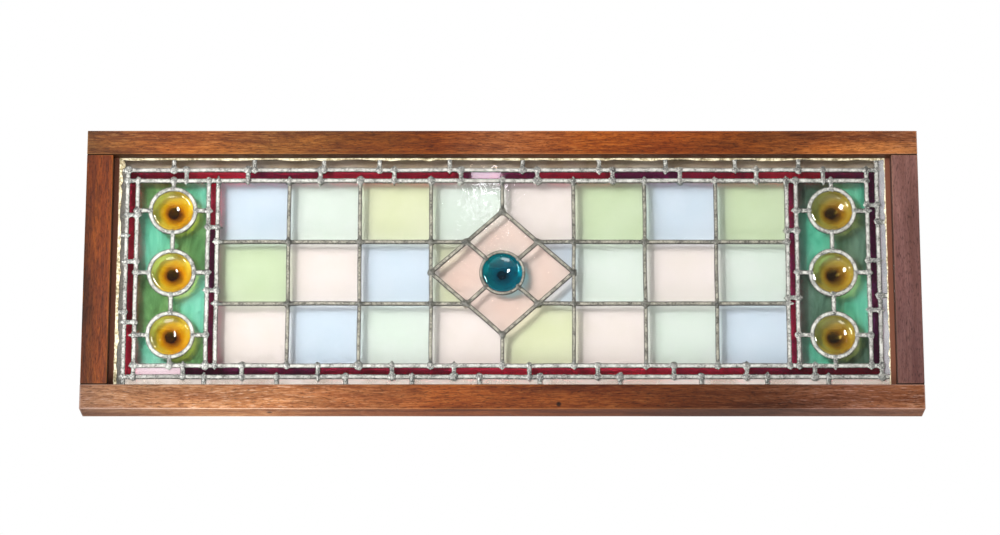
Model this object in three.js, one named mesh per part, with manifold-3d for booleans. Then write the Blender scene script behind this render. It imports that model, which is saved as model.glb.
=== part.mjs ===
// A leaded-light transom window: a hardwood sash with a stained glass panel puttied into the
// rebate at its back. Millimetres; +X to the right, -Y to the front, +Z up. The origin is the
// middle of the sash's underside.
import * as THREE from "three";
import { mergeVertices } from "three/addons/utils/BufferGeometryUtils.js";
import Module from "manifold-3d";

const wasm = await Module();
wasm.setup();

// ---- Driving dimensions ----

const sash = {
  width: 1180,
  height: 408,
  depth: 45,
  topRail: 35.4, // face width of each member
  bottomRail: 36,
  stile: 38,
  lip: 20, // thickness of the wood in front of the rebate
  rebate: 11, // how far the rebate is cut back from the sight edge
};

const contactGap = 0.3; // left between pieces that bear on each other

const came = {
  width: 6.4, // across the flanges
  flange: 1.1,
  heart: 1.5,
  depth: 5.6, // front to back over both flanges
  perimeterWidth: 10, // wide came round the panel's edge
};

const glass = {
  thickness: 2.8,
  clearance: 0.35, // from the glass edge to the heart of the came
};

const puttyBed = 2; // bed between the wooden lip and the panel
const puttySqueeze = 1.2; // how far the bed stands past the sight edge
const puttyFillet = 9; // height of the struck fillet behind the panel
const edgeClearance = 2; // from the panel's edge to the rebate, filled with putty

const columns = 8;
const columnPitch = 101;
const rows = 3;
const rowPitch = 90.7;
const rubyBandWidth = 14.5; // between the centre lines of the two border cames, at the sides
const rubyBandHeight = 16; // the same above and below
const rubyBarWidth = 13.5; // ruby bar between the main field and a side panel
const sidePanelWidth = 101;

const roundel = { ringRadius: 32, pitch: 91.5 };
const jewel = { ringRadius: 30.4 };
const circleSides = 16;
const neckReach = 3.4; // from a column lead's centre line to the blunt tip of a diamond kite

// Short cross leads that divide the border strips, each set by hand where a strip ran out.
// X along the top and bottom, Z above the panel's centre along the sides.
const rubyCrossLeads = {
  top: [-450, -362, -259, -154, -59, 50, 157, 253, 362, 457],
  bottom: [-448.5, -366, -259, -155, -68, 38, 134, 241, 343, 439],
  left: [85, 16, -73],
  right: [100, 18, -55],
  barLeft: [67, -26],
  barRight: [62, -37],
};
const clearCrossLeads = {
  top: [-468, -353, -254, -175, -75, 29, 138, 233, 332, 422],
  bottom: [-419, -317, -220, -127, -32, 53, 165, 279, 372, 458],
  left: [55, -58],
  right: [75, -34],
};

// ---- Sizes that follow from them ----

const sight = {
  halfWidth: sash.width / 2 - sash.stile,
  low: sash.bottomRail,
  high: sash.height - sash.topRail,
};
const centreZ = (sight.low + sight.high) / 2;
const sightHalfHeight = (sight.high - sight.low) / 2;

const frontY = -sash.depth / 2;
const backY = sash.depth / 2;
const lipBackY = frontY + sash.lip;
const cameFrontY = lipBackY + puttyBed;
const cameBackY = cameFrontY + came.depth;
const glassY = (cameFrontY + cameBackY) / 2;

const panelInset = sash.rebate - edgeClearance; // panel edge, outward from the sight edge
const panel = {
  halfWidth: sight.halfWidth + panelInset,
  halfHeight: sightHalfHeight + panelInset,
};

// Setbacks from a came's centre line.
const sightSetback = came.width / 2;
const slotSetback = came.heart / 2;
const glassSetback = slotSetback + glass.clearance;

// Centre lines of the cames, as half widths and half heights about the panel's centre.
const fieldX = (columns * columnPitch) / 2;
const fieldZ = (rows * rowPitch) / 2;
const sideInnerX = fieldX + rubyBarWidth;
const innerX = sideInnerX + sidePanelWidth;
const outerX = innerX + rubyBandWidth;
const outerZ = fieldZ + rubyBandHeight;
const perimeterX = panel.halfWidth - came.perimeterWidth + sightSetback;
const perimeterZ = panel.halfHeight - came.perimeterWidth + sightSetback;
const sideCentreX = (sideInnerX + innerX) / 2;

// ---- Materials ----

function finish(color, roughness, metalness = 0, opacity = 1) {
  const transparent = opacity < 1;
  return () => new THREE.MeshStandardMaterial({ color, roughness, metalness, transparent, opacity });
}

const materials = {
  hardwood: finish(0x7d4526, 0.5),
  putty: finish(0xd8ccae, 0.85),
  lead: finish(0x8d8c86, 0.6, 0.7),
  clear: finish(0xdfe3dc, 0.08, 0, 0.35),
  ruby: finish(0x7a0f22, 0.1, 0, 0.9),
  pink: finish(0xe9cfd0, 0.1, 0, 0.6),
  blue: finish(0xc3d9ee, 0.1, 0, 0.6),
  mint: finish(0xd9ecdc, 0.1, 0, 0.6),
  yellowGreen: finish(0xd5e2b4, 0.1, 0, 0.6),
  blush: finish(0xf2dfd6, 0.15, 0, 0.6),
  amber: finish(0xd9980f, 0.08, 0, 0.85),
  jewelTeal: finish(0x0a7f8c, 0.06, 0, 0.9),
  green: finish(0x4c7c50, 0.12, 0, 0.8),
  teal: finish(0x5cc0a0, 0.12, 0, 0.8),
};

// ---- Geometry helpers ----

const point = (x, z) => new THREE.Vector2(x, z);

function solidOf(geometry) {
  geometry.deleteAttribute("normal");
  geometry.deleteAttribute("uv");
  const merged = mergeVertices(geometry, 1e-4);
  return new wasm.Manifold(
    new wasm.Mesh({
      numProp: 3,
      vertProperties: merged.attributes.position.array,
      triVerts: new Uint32Array(merged.index.array),
    }),
  );
}

function geometryOf(solid) {
  const { vertProperties, triVerts } = solid.getMesh();
  const geometry = new THREE.BufferGeometry();
  geometry.setAttribute("position", new THREE.BufferAttribute(vertProperties, 3));
  geometry.setIndex(new THREE.BufferAttribute(triVerts, 1));
  geometry.computeVertexNormals();
  return geometry;
}

// A flat plate whose outline stands in the XZ plane, from one depth to another.
function plate(outline, fromY, toY) {
  const geometry = new THREE.ExtrudeGeometry(new THREE.Shape(outline), {
    depth: toY - fromY,
    bevelEnabled: false,
  });
  geometry.rotateX(Math.PI / 2);
  geometry.translate(0, toY, 0);
  return solidOf(geometry);
}

function rectangle(lowX, highX, lowZ, highZ) {
  return [point(lowX, lowZ), point(highX, lowZ), point(highX, highZ), point(lowX, highZ)];
}

function circle(centre, radius) {
  return Array.from({ length: circleSides }, (_, i) => {
    const angle = ((i + 0.5) / circleSides) * 2 * Math.PI;
    return point(centre.x + radius * Math.cos(angle), centre.y + radius * Math.sin(angle));
  });
}

// The outline moved inwards by a setback. Outlines are convex and run anticlockwise.
function inset(outline, setback) {
  const count = outline.length;
  return outline.map((corner, i) => {
    const before = corner.clone().sub(outline[(i + count - 1) % count]).normalize();
    const after = outline[(i + 1) % count].clone().sub(corner).normalize();
    const normalBefore = point(-before.y, before.x);
    const normalAfter = point(-after.y, after.x);
    const bisector = normalBefore.clone().add(normalAfter);
    const reach = setback / (1 + normalBefore.dot(normalAfter));
    return corner.clone().addScaledVector(bisector, reach);
  });
}

const rebateVoid = plate(
  rectangle(
    -sight.halfWidth - sash.rebate,
    sight.halfWidth + sash.rebate,
    sight.low - sash.rebate,
    sight.high + sash.rebate,
  ),
  lipBackY,
  backY + 1,
);

// ---- The window's group and how a piece joins it ----

const stainedGlassWindow = new THREE.Group();
const leadedPanel = new THREE.Group(); // drawn about its own centre
leadedPanel.position.z = centreZ;
stainedGlassWindow.add(leadedPanel);

function addPiece(group, name, solid, materialName) {
  const mesh = new THREE.Mesh(geometryOf(solid), materials[materialName]());
  mesh.name = name;
  group.add(mesh);
}

// ---- Sash: two rails the full width, two stiles butted between them ----

function addSash() {
  const half = sash.width / 2;
  const stileLow = sight.low + contactGap;
  const stileHigh = sight.high - contactGap;
  const members = {
    bottom_rail: rectangle(-half, half, 0, sight.low),
    top_rail: rectangle(-half, half, sight.high, sash.height),
    left_stile: rectangle(-half, -sight.halfWidth, stileLow, stileHigh),
    right_stile: rectangle(sight.halfWidth, half, stileLow, stileHigh),
  };
  for (const [name, outline] of Object.entries(members)) {
    addPiece(stainedGlassWindow, name, plate(outline, frontY, backY).subtract(rebateVoid), "hardwood");
  }
}

// ---- Putty: front bed, the clearance round the panel's edge and a struck fillet behind ----

// A mitred ring round the panel, from a section of outward distances and depths.
function sightRing(section) {
  const corners = [
    [-1, -1],
    [1, -1],
    [1, 1],
    [-1, 1],
  ];
  const positions = [];
  for (const [sideX, sideZ] of corners) {
    for (const [outward, y] of section) {
      positions.push(
        sideX * (sight.halfWidth + outward),
        y,
        sideZ * (sightHalfHeight + outward),
      );
    }
  }
  const count = section.length;
  const index = [];
  for (let side = 0; side < corners.length; side++) {
    const here = side * count;
    const next = ((side + 1) % corners.length) * count;
    for (let i = 0; i < count; i++) {
      const j = (i + 1) % count;
      index.push(here + i, next + i, next + j, here + i, next + j, here + j);
    }
  }
  const geometry = new THREE.BufferGeometry();
  geometry.setAttribute("position", new THREE.Float32BufferAttribute(positions, 3));
  geometry.setIndex(index);
  return solidOf(geometry);
}

function addPutty() {
  const bedFrontY = lipBackY + contactGap;
  const bedBackY = cameFrontY - contactGap;
  const filletY = cameBackY + contactGap;
  const edge = panelInset + contactGap;
  const wall = sash.rebate - contactGap;
  const section = [
    [-puttySqueeze, bedFrontY],
    [-puttySqueeze, bedBackY],
    [edge, bedBackY],
    [edge, filletY],
    [wall - puttyFillet, filletY],
    [wall, filletY + puttyFillet],
    [wall, bedFrontY],
  ];
  addPiece(leadedPanel, "glazing_putty", sightRing(section), "putty");
}

// ---- Panes: each is a convex outline on the cames' centre lines, less any round it meets ----

function paneSolid(pane, setback, fromY, toY) {
  let solid = plate(inset(pane.outline, setback), fromY, toY);
  for (const round of pane.rounds ?? []) {
    solid = solid.subtract(plate(circle(round.centre, round.radius + setback), fromY, toY));
  }
  return solid;
}

function roundSolid(round, setback, fromY, toY) {
  return plate(circle(round.centre, round.radius - setback), fromY, toY);
}

// Glass of the main field, row by row, left to right. The diamond takes the middle of row two.
const fieldGlass = {
  top: ["blue", "mint", "yellowGreen", "mint", "blush", "yellowGreen", "blue", "yellowGreen"],
  middle: ["yellowGreen", "blush", "blue", null, null, "mint", "blush", "mint"],
  bottom: ["blush", "blue", "mint", "blush", "yellowGreen", "blush", "mint", "blue"],
};

const jewelRound = { centre: point(0, 0), radius: jewel.ringRadius };

function anticlockwise(outline) {
  return THREE.ShapeUtils.isClockWise(outline) ? outline.reverse() : outline;
}

// A pane beside the diamond: the diamond's sloping side cuts one corner off the square.
function fiveSidedPane(sideX, sideZ) {
  const farX = sideX * columnPitch;
  const lowZ = (sideZ * rowPitch) / 2;
  return anticlockwise([
    point(0, sideZ * rowPitch),
    point(farX / 2, lowZ),
    point(farX, lowZ),
    point(farX, sideZ * fieldZ),
    point(0, sideZ * fieldZ),
  ]);
}

function fieldPanes() {
  const panes = [];
  Object.entries(fieldGlass).forEach(([rowName, glasses], row) => {
    const highZ = fieldZ - row * rowPitch;
    glasses.forEach((material, i) => {
      if (!material) return;
      const lowX = -fieldX + i * columnPitch;
      const sideX = Math.sign(i + 0.5 - columns / 2);
      const besideDiamond = Math.abs(i + 0.5 - columns / 2) < 1;
      const outline = besideDiamond
        ? fiveSidedPane(sideX, Math.sign(1 - row))
        : rectangle(lowX, lowX + columnPitch, highZ - rowPitch, highZ);
      panes.push({ name: `pane_${rowName}_${i + 1}`, outline, material });
    });
  });
  return panes;
}

// Four kites meet at the jewel's ring. The side ones are blunted at the diamond's points, to
// leave room for the neck that joins the two small triangles there.
function diamondPanes() {
  const corners = { top: [0, 1], right: [1, 0], bottom: [0, -1], left: [-1, 0] };
  return Object.entries(corners).map(([side, [x, z]]) => {
    const bluntX = x * (columnPitch - neckReach);
    const bluntZ = (neckReach * rowPitch) / columnPitch;
    const tip = z
      ? [point(0, z * rowPitch)]
      : [point(bluntX, -x * bluntZ), point(bluntX, x * bluntZ)];
    return {
      name: `diamond_${side}`,
      outline: anticlockwise([
        point(0, 0),
        point(((x + z) * columnPitch) / 2, ((z - x) * rowPitch) / 2),
        ...tip,
        point(((x - z) * columnPitch) / 2, ((z + x) * rowPitch) / 2),
      ]),
      rounds: [jewelRound],
      material: "blush",
    };
  });
}

// The small triangle between the diamond's side, a column lead and a row lead.
function cornerTriangle(sideX, sideZ) {
  const farX = sideX * columnPitch;
  const halfRow = (sideZ * rowPitch) / 2;
  return anticlockwise([point(farX, 0), point(farX, halfRow), point(farX / 2, halfRow)]);
}

// A pair of triangles joined by a narrow neck under the lead at the diamond's point.
function trianglePair(sideX, setback, fromY, toY) {
  const neckHalfHeight = 6;
  const neckEdges = [columnPitch - setback, columnPitch - neckReach + setback].map((x) => sideX * x);
  const neck = rectangle(Math.min(...neckEdges), Math.max(...neckEdges), -neckHalfHeight, neckHalfHeight);
  return plate(inset(cornerTriangle(sideX, 1), setback), fromY, toY)
    .add(plate(inset(cornerTriangle(sideX, -1), setback), fromY, toY))
    .add(plate(neck, fromY, toY));
}

// Background of a side panel: four levels of two pieces round three roundels, with the green
// and the teal glass changing places from level to level.
function sidePanes(side, sideX) {
  const levels = [fieldZ, roundel.pitch, 0, -roundel.pitch, -fieldZ];
  const rounds = roundels(side, sideX);
  const panes = [];
  for (let level = 0; level < levels.length - 1; level++) {
    for (const place of ["left", "right"]) {
      const centreX = sideX * sideCentreX;
      const edgeX = centreX + (place === "left" ? -1 : 1) * (sidePanelWidth / 2);
      panes.push({
        name: `side_${side}_${level + 1}_${place}`,
        outline: rectangle(
          Math.min(centreX, edgeX),
          Math.max(centreX, edgeX),
          levels[level + 1],
          levels[level],
        ),
        rounds,
        material: (level % 2 === 0) === (place === "left") ? "green" : "teal",
      });
    }
  }
  return panes;
}

function roundels(side, sideX) {
  return ["top", "middle", "bottom"].map((level, i) => ({
    name: `roundel_${side}_${level}`,
    centre: point(sideX * sideCentreX, (1 - i) * roundel.pitch),
    radius: roundel.ringRadius,
  }));
}

// A pressed roundel: a shallow saucer hollowed from the front, with a thick boss behind.
// The profile runs from the front middle out to the rim and back to the boss, as shares of
// the radius and depths behind the glass plane.
function roundelSolid(radius) {
  const half = glass.thickness / 2;
  const profile = [
    [0, 5],
    [0.9, -half],
    [1, -half],
    [1, half],
    [0.9, half],
    [0.4, 9.5],
    [0, 11],
  ];
  const points = profile.map(([share, depth]) => new THREE.Vector2(share * radius, -depth));
  const geometry = new THREE.LatheGeometry(points.reverse(), circleSides, Math.PI / circleSides);
  return solidOf(geometry);
}

function addRoundel(name, round, materialName) {
  const holder = new THREE.Group();
  holder.position.set(round.centre.x, glassY, round.centre.y);
  holder.rotation.x = Math.PI;
  leadedPanel.add(holder);
  addPiece(holder, name, roundelSolid(round.radius - glassSetback), materialName);
}

// ---- Border strips: a ruby and a clear band, each divided by short cross leads ----

// Bands go round like a pinwheel: each owns the corner at its one end and stops at its other.
function bands(insideX, insideZ, outsideX, outsideZ, crossLeads) {
  return [
    { span: [-outsideX, insideX], across: [insideZ, outsideZ], cuts: crossLeads.top, level: true },
    { span: [-insideX, outsideX], across: [-outsideZ, -insideZ], cuts: crossLeads.bottom, level: true },
    { span: [-outsideZ, insideZ], across: [-outsideX, -insideX], cuts: crossLeads.left },
    { span: [-insideZ, outsideZ], across: [insideX, outsideX], cuts: crossLeads.right },
  ];
}

function stripOutlines({ span, across, cuts, level }) {
  const stops = [span[0], ...[...cuts].sort((a, b) => a - b), span[1]];
  return stops.slice(1).map((stop, i) =>
    level ? rectangle(stops[i], stop, ...across) : rectangle(...across, stops[i], stop),
  );
}

const rubyBars = [
  { span: [-fieldZ, fieldZ], across: [-sideInnerX, -fieldX], cuts: rubyCrossLeads.barLeft },
  { span: [-fieldZ, fieldZ], across: [fieldX, sideInnerX], cuts: rubyCrossLeads.barRight },
];
const stripSights = [
  ...bands(innerX, fieldZ, outerX, outerZ, rubyCrossLeads),
  ...bands(outerX, outerZ, perimeterX, perimeterZ, clearCrossLeads),
  ...rubyBars,
].flatMap(stripOutlines);

const pinkStrip = {
  outline: rectangle(-innerX, rubyCrossLeads.bottom[0], -outerZ, -fieldZ),
};

function ring(insideX, insideZ, outsideX, outsideZ, setback, fromY, toY) {
  const outside = inset(rectangle(-outsideX, outsideX, -outsideZ, outsideZ), setback);
  const inside = inset(rectangle(-insideX, insideX, -insideZ, insideZ), -setback);
  return plate(outside, fromY, toY).subtract(plate(inside, fromY, toY));
}

function clearStrips(setback, fromY, toY) {
  return ring(outerX, outerZ, perimeterX, perimeterZ, setback, fromY, toY);
}

function rubyStrips(setback, fromY, toY) {
  let solid = ring(innerX, fieldZ, outerX, outerZ, setback, fromY, toY);
  for (const { across, span } of rubyBars) {
    const reach = setback + 1; // into the band above and below
    const bar = rectangle(across[0] + setback, across[1] - setback, span[0] - reach, span[1] + reach);
    solid = solid.add(plate(bar, fromY, toY));
  }
  return solid.subtract(plate(inset(pinkStrip.outline, -setback), fromY, toY));
}

// ---- Lead: one soldered lattice, an H section round every pane ----

function addLead(panes, rounds) {
  const slotFrontY = cameFrontY + came.flange;
  const slotBackY = cameBackY - came.flange;
  const through = [cameFrontY - 1, cameBackY + 1];
  const slot = [slotFrontY, slotBackY];
  const { halfWidth, halfHeight } = panel;
  const cuts = [
    ...panes.map((pane) => paneSolid(pane, sightSetback, ...through)),
    ...panes.map((pane) => paneSolid(pane, slotSetback, ...slot)),
    ...rounds.map((round) => roundSolid(round, sightSetback, ...through)),
    ...rounds.map((round) => roundSolid(round, slotSetback, ...slot)),
    ...[...stripSights, cornerTriangle(-1, 1), cornerTriangle(-1, -1), cornerTriangle(1, 1),
      cornerTriangle(1, -1)].map((outline) => plate(inset(outline, sightSetback), ...through)),
    trianglePair(-1, slotSetback, ...slot),
    trianglePair(1, slotSetback, ...slot),
    paneSolid(pinkStrip, slotSetback, ...slot),
    rubyStrips(slotSetback, ...slot),
    clearStrips(slotSetback, ...slot),
  ];
  const sheet = plate(rectangle(-halfWidth, halfWidth, -halfHeight, halfHeight), cameFrontY, cameBackY);
  const lattice = cuts.reduce((solid, cut) => solid.subtract(cut), sheet);
  addPiece(leadedPanel, "lead_cames", lattice, "lead");
}

// ---- Assembly ----

addSash();
addPutty();

const panes = [
  ...fieldPanes(),
  ...diamondPanes(),
  ...sidePanes("left", -1),
  ...sidePanes("right", 1),
];
const rounds = [...roundels("left", -1), ...roundels("right", 1)];
addLead(panes, [...rounds, jewelRound]);

const glassFaces = [glassY - glass.thickness / 2, glassY + glass.thickness / 2];
for (const pane of panes) {
  addPiece(leadedPanel, pane.name, paneSolid(pane, glassSetback, ...glassFaces), pane.material);
}
for (const round of rounds) addRoundel(round.name, round, "amber");
addRoundel("centre_jewel", jewelRound, "jewelTeal");
addPiece(leadedPanel, "corner_glass_left", trianglePair(-1, glassSetback, ...glassFaces), "yellowGreen");
addPiece(leadedPanel, "corner_glass_right", trianglePair(1, glassSetback, ...glassFaces), "blue");
addPiece(leadedPanel, "pink_border_strip", paneSolid(pinkStrip, glassSetback, ...glassFaces), "pink");
addPiece(leadedPanel, "ruby_border_strips", rubyStrips(glassSetback, ...glassFaces), "ruby");
addPiece(leadedPanel, "clear_border_strips", clearStrips(glassSetback, ...glassFaces), "clear");

export default stainedGlassWindow;
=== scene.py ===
import math

import bmesh
import bpy
from mathutils import Matrix, Vector, noise


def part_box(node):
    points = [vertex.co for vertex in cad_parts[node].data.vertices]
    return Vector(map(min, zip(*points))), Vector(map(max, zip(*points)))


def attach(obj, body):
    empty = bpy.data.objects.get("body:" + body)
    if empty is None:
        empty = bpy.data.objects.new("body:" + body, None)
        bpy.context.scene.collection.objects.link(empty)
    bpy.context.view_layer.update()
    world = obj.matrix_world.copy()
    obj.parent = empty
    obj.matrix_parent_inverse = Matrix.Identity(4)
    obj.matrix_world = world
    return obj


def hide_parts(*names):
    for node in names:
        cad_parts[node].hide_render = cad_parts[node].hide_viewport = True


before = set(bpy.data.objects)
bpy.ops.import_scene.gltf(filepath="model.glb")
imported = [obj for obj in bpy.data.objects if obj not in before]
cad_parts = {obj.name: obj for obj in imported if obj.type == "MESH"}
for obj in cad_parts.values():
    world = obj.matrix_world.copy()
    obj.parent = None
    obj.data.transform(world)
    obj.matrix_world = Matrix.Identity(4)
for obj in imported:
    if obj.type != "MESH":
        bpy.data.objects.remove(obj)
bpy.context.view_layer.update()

# ---- Sash ----
# The wooden frame that carries the leaded panel: two rails the full width and two stiles
# butted between them, planed hardwood with a rebate at the back, varnished red brown.

MM = 0.001
X, Y, Z = 0, 1, 2  # along the window, into the wall and up
REBATE_WIDTH = 11 * MM  # cut back from the sight edge
LIP = 20 * MM  # wood left in front of the rebate
ARRIS = 0.9 * MM  # worn roundness of the edges
PLANED_DIP = 0.2 * MM  # how far a hand-planed face dips on average
PLANING_CUTS = {X: 47, Z: 13}  # divisions of a rail and of a stile, which carry the dips
SHARP = math.radians(40)  # edges that turn further than this are rounded
OLD_VARNISH = "1c0d07"


def deselect():
    if bpy.context.object and bpy.context.object.mode == "EDIT":
        bpy.ops.object.mode_set(mode="OBJECT")
    bpy.ops.object.select_all(action="DESELECT")


def pick(piece):
    deselect()
    piece.select_set(True)
    bpy.context.view_layer.objects.active = piece


def keep_name(piece, name):
    piece.name = name
    piece.data.name = name
    return piece


def settle(name):
    """Puts the place of what was just added into its mesh, and names it."""
    bpy.ops.object.transform_apply(location=True, rotation=True, scale=True)
    return keep_name(bpy.context.object, name)


def add_block(name, low, high):
    deselect()
    low, high = Vector(low), Vector(high)
    bpy.ops.mesh.primitive_cube_add(size=1, location=(low + high) / 2, scale=high - low)
    return settle(name)


def divide(piece, axis, cuts):
    """Cuts every edge that runs along an axis into equal lengths."""
    pick(piece)
    bpy.ops.object.mode_set(mode="EDIT")
    bpy.ops.mesh.select_mode(type="EDGE")
    bpy.ops.mesh.select_all(action="DESELECT")
    shell = bmesh.from_edit_mesh(piece.data)
    for edge in shell.edges:
        span = edge.verts[1].co - edge.verts[0].co
        if abs(span[axis]) > 0.99 * span.length:
            edge.select_set(True)
    shell.select_flush_mode()
    bmesh.update_edit_mesh(piece.data)
    bpy.ops.mesh.subdivide(number_cuts=cuts)
    bpy.ops.object.mode_set(mode="OBJECT")


def apply_modifier(piece, kind, **settings):
    pick(piece)
    modifier = piece.modifiers.new(kind, kind)
    for key, value in settings.items():
        setattr(modifier, key, value)
    bpy.ops.object.modifier_apply(modifier=modifier.name)


def round_edges(piece, width, segments):
    how = {"limit_method": "ANGLE", "angle_limit": SHARP}
    apply_modifier(piece, "BEVEL", width=width, segments=segments, **how)


def smooth(piece, degrees):
    pick(piece)
    bpy.ops.object.shade_smooth_by_angle(angle=math.radians(degrees))


def linear(hex_colour):
    """An sRGB hex colour as the linear colour that shaders take."""
    channels = [int(hex_colour[i : i + 2], 16) / 255 for i in (0, 2, 4)]
    return [c / 12.92 if c <= 0.04045 else ((c + 0.055) / 1.055) ** 2.4 for c in channels] + [1]


def add_node(tree, kind, inputs=None, output=0, **settings):
    """Adds a shader node with its inputs, linked or plain, and its settings, and gives an output.

    A colour may be a hex string, and a stop of a ramp may also be three linear numbers.
    """
    made = tree.nodes.new("ShaderNode" + kind)
    for key, value in settings.items():
        if key == "stops":
            ramp = made.color_ramp
            while len(ramp.elements) < len(value):
                ramp.elements.new(0.5)
            for element, (place, colour) in zip(ramp.elements, value):
                element.position = place
                element.color = linear(colour) if isinstance(colour, str) else (*colour, 1)
        else:
            setattr(made, key, value)
    for key, value in (inputs or {}).items():
        if isinstance(value, bpy.types.NodeSocket):
            tree.links.new(value, made.inputs[key])
        else:
            made.inputs[key].default_value = linear(value) if isinstance(value, str) else value
    return made.outputs[output] if made.outputs else None


def new_material(name):
    made = bpy.data.materials.new(name)
    made.use_nodes = True
    made.node_tree.nodes.clear()
    return made, made.node_tree


SHARE, UNDER, OVER, MIXED = 0, 6, 7, 2  # sockets of a Mix node between two colours


def lay_over(tree, colour, tone, pattern, start, full, most, **settings):
    """A tone over a colour where a pattern goes from start to full, and the share of it there."""
    reach = {"Value": pattern, "From Min": start, "From Max": full, "To Max": most}
    share = add_node(tree, "MapRange", reach, **settings)
    pair = {SHARE: share, UNDER: colour, OVER: tone}
    return add_node(tree, "Mix", pair, MIXED, data_type="RGBA"), share


# Varnished hardwood gives the eye long broken streaks of orange brown and near black, open
# pores as short dark dashes, arrises rubbed to bare wood and a soft satin shine.
def varnished_hardwood(name, low, high, along, across, tones, seed, sight_side, knots):
    material, tree = new_material(name)
    place = add_node(tree, "TexCoord", output="Object")
    # The grain wanders by up to 6 mm over about 140 mm.
    wander = add_node(tree, "TexNoise", {"Vector": place, "Scale": 7, "Detail": 1}, "Color")
    wander = add_node(tree, "VectorMath", {0: wander, 1: (0.5, 0.5, 0.5)}, operation="SUBTRACT")
    wander = add_node(tree, "VectorMath", {0: wander, "Scale": 12 * MM}, operation="SCALE")
    grown = add_node(tree, "VectorMath", {0: place, 1: wander}, operation="ADD")

    def grain(length, scale, detail, rough):
        """Noise drawn out along the grain to so many times its width."""
        stretch = [1.0, 1.0, 1.0]
        stretch[along] = 1 / length
        start = (seed, seed * 0.7, seed * 1.3)
        drawn = add_node(tree, "Mapping", {"Vector": grown, "Location": start, "Scale": stretch})
        pattern = {"Vector": drawn, "Scale": scale, "Detail": detail, "Roughness": rough}
        return add_node(tree, "TexNoise", pattern, "Fac")

    figure = grain(14, 60, 4, 0.6)  # growth bands about 16 mm wide
    fibres = grain(14, 620, 4, 0.75)  # streaks about 1.6 mm, coarser than real to show
    pores = grain(5, 760, 2, 0.6)  # dashes about 1.3 by 7 mm, coarser than real to show
    grime = grain(4, 13, 4, 0.6)  # clouds of darkened varnish, 80 mm and more
    bands = [(0.28, tones["dark"]), (0.5, tones["middle"]), (0.72, tones["light"])]
    colour = add_node(tree, "ValToRGB", {"Fac": figure}, stops=bands)
    colour, _ = lay_over(tree, colour, tones["worn"], fibres, 0.46, 0.34, tones["streaks"])
    colour, _ = lay_over(tree, colour, tones["dark"], fibres, 0.48, 0.62, 0.7)
    colour, _ = lay_over(tree, colour, OLD_VARNISH, grime, 0.5, 0.7, tones["grime"])
    colour, pore_share = lay_over(tree, colour, "140805", pores, 0.54, 0.66, 0.5)
    for knot, size in knots:
        away = add_node(tree, "VectorMath", {0: grown, 1: knot}, "Value", operation="DISTANCE")
        colour, _ = lay_over(
            tree, colour, "160a06", away, size, size * 0.45, 0.9, interpolation_type="SMOOTHSTEP"
        )
    # Distance to the nearest arris: the middle one of the distances to the three pairs of faces.
    offset = add_node(tree, "VectorMath", {0: place, 1: (low + high) / 2}, operation="SUBTRACT")
    offset = add_node(tree, "VectorMath", {0: offset}, operation="ABSOLUTE")
    inside = add_node(tree, "VectorMath", {0: (high - low) / 2, 1: offset}, operation="SUBTRACT")
    in_x, in_y, in_z = add_node(tree, "SeparateXYZ", {"Vector": inside}).node.outputs
    lower = add_node(tree, "Math", {0: in_x, 1: in_y}, operation="MINIMUM")
    upper = add_node(tree, "Math", {0: in_x, 1: in_y}, operation="MAXIMUM")
    middle = add_node(tree, "Math", {0: upper, 1: in_z}, operation="MINIMUM")
    arris = add_node(tree, "Math", {0: lower, 1: middle}, operation="MAXIMUM")
    # The varnish is rubbed off up to 4 mm from the arris, and least far under the grime.
    rub = add_node(tree, "Math", {0: grime, 1: -9 * MM, 2: 6.6 * MM}, operation="MULTIPLY_ADD")
    colour, _ = lay_over(tree, colour, tones["worn"], arris, rub, 0.2 * MM, tones["wear"])
    # Paler or darker along its length: partly faded by light and weather, partly a painted glare
    # and a painted bluish sheen.
    length = add_node(tree, "SeparateXYZ", {"Vector": place}, along)
    ends = {"Value": length, "From Min": low[along], "From Max": high[along]}
    run = add_node(tree, "ValToRGB", {"Fac": add_node(tree, "MapRange", ends)}, stops=tones["run"])
    pair = {SHARE: 1.0, UNDER: colour, OVER: run}
    colour = add_node(tree, "Mix", pair, MIXED, data_type="RGBA", blend_type="MULTIPLY")
    # Painted shade: the face towards the glass is painted near black, for the dark recess of the
    # sight edge.
    painted_shade_position = add_node(tree, "SeparateXYZ", {"Vector": place}, across)
    painted_shade_position = add_node(tree, "Math", {0: painted_shade_position, 1: sight_side}, operation="MULTIPLY")
    sight = sight_side * (high if sight_side > 0 else low)[across]
    colour, _ = lay_over(tree, colour, "1d0e08", painted_shade_position, sight - 1.2 * MM, sight - 0.5 * MM, 0.8)
    # The joints are black with old varnish and dust.
    if along == Z:
        colour, _ = lay_over(tree, colour, "0e0603", in_z, 1.6 * MM, 0.4 * MM, 0.9)
    satin = {"Value": grime, "From Min": 0.3, "From Max": 0.7, "To Min": 0.4, "To Max": 0.55}
    relief = add_node(tree, "Math", {0: fibres, 1: 0.4, 2: pore_share}, operation="MULTIPLY_ADD")
    bumps = {"Strength": 0.5, "Distance": 0.35 * MM, "Height": relief}
    finish = {
        "Base Color": colour,
        "Roughness": add_node(tree, "MapRange", satin),
        "Normal": add_node(tree, "Bump", bumps, invert=True),
        "IOR": 1.5,
        "Specular IOR Level": 0.1,
    }
    surface = add_node(tree, "BsdfPrincipled", finish)
    add_node(tree, "OutputMaterial", {"Surface": surface})
    return material
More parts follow.
